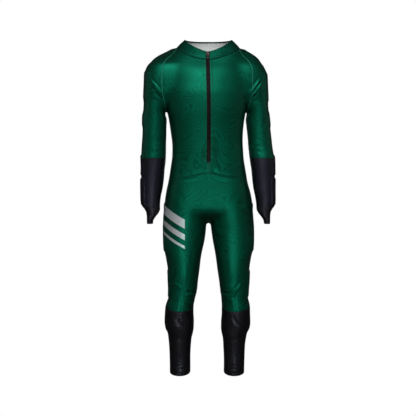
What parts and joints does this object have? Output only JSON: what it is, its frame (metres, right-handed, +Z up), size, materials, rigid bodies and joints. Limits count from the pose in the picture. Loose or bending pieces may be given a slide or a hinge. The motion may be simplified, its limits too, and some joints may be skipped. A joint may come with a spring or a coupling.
{
  "type": "ski race suit",
  "caption": "Hollow one-piece ski race suit with raglan sleeves, short collar, front zip with hinged pull tab, black forearms and lower legs, filled out as worn.",
  "frame": {"origin": "base of the neck between the shoulders, where the suit hangs on its wearer", "axes": "+Z up, the suit faces -Y, +X towards the wearer's left"},
  "size_m": [0.5665, 0.2376, 1.4096],
  "materials": {
    "green_cloth": "smooth stretch cloth with a satin sheen",
    "collar_cloth": "dark green stretch cloth",
    "black_cloth": "black stretch cloth with a soft bluish sheen",
    "black_mesh": "black stretch mesh",
    "zip_tape": "woven tape",
    "zip_metal": "blackened metal",
    "pull_tab": "moulded grey tab"
  },
  "bodies": {
    "suit": {"front_left": "green_cloth", "front_right": "green_cloth", "back": "green_cloth", "sleeve_left": "green_cloth", "sleeve_right": "green_cloth", "leg_front_left": "green_cloth", "leg_front_right": "green_cloth", "leg_back_left": "green_cloth", "leg_back_right": "green_cloth", "collar": "collar_cloth", "forearm_left": "black_cloth", "forearm_right": "black_cloth", "shin_left": "black_cloth", "shin_right": "black_cloth", "hand_gaiter_left": "black_mesh", "hand_gaiter_right": "black_mesh", "zip_tape_left": "zip_tape", "zip_tape_right": "zip_tape", "zip_slider": "zip_metal"},
    "pull": {"zip_pull": "pull_tab"}
  },
  "joints": [
    {"name": "pull_hinge", "type": "hinge", "parent": "suit", "child": "pull", "pos_m": [-0.00181, -0.07088, -0.03541], "axis": [-1, 0, 0], "range_deg": [0, 150]}
  ]
}
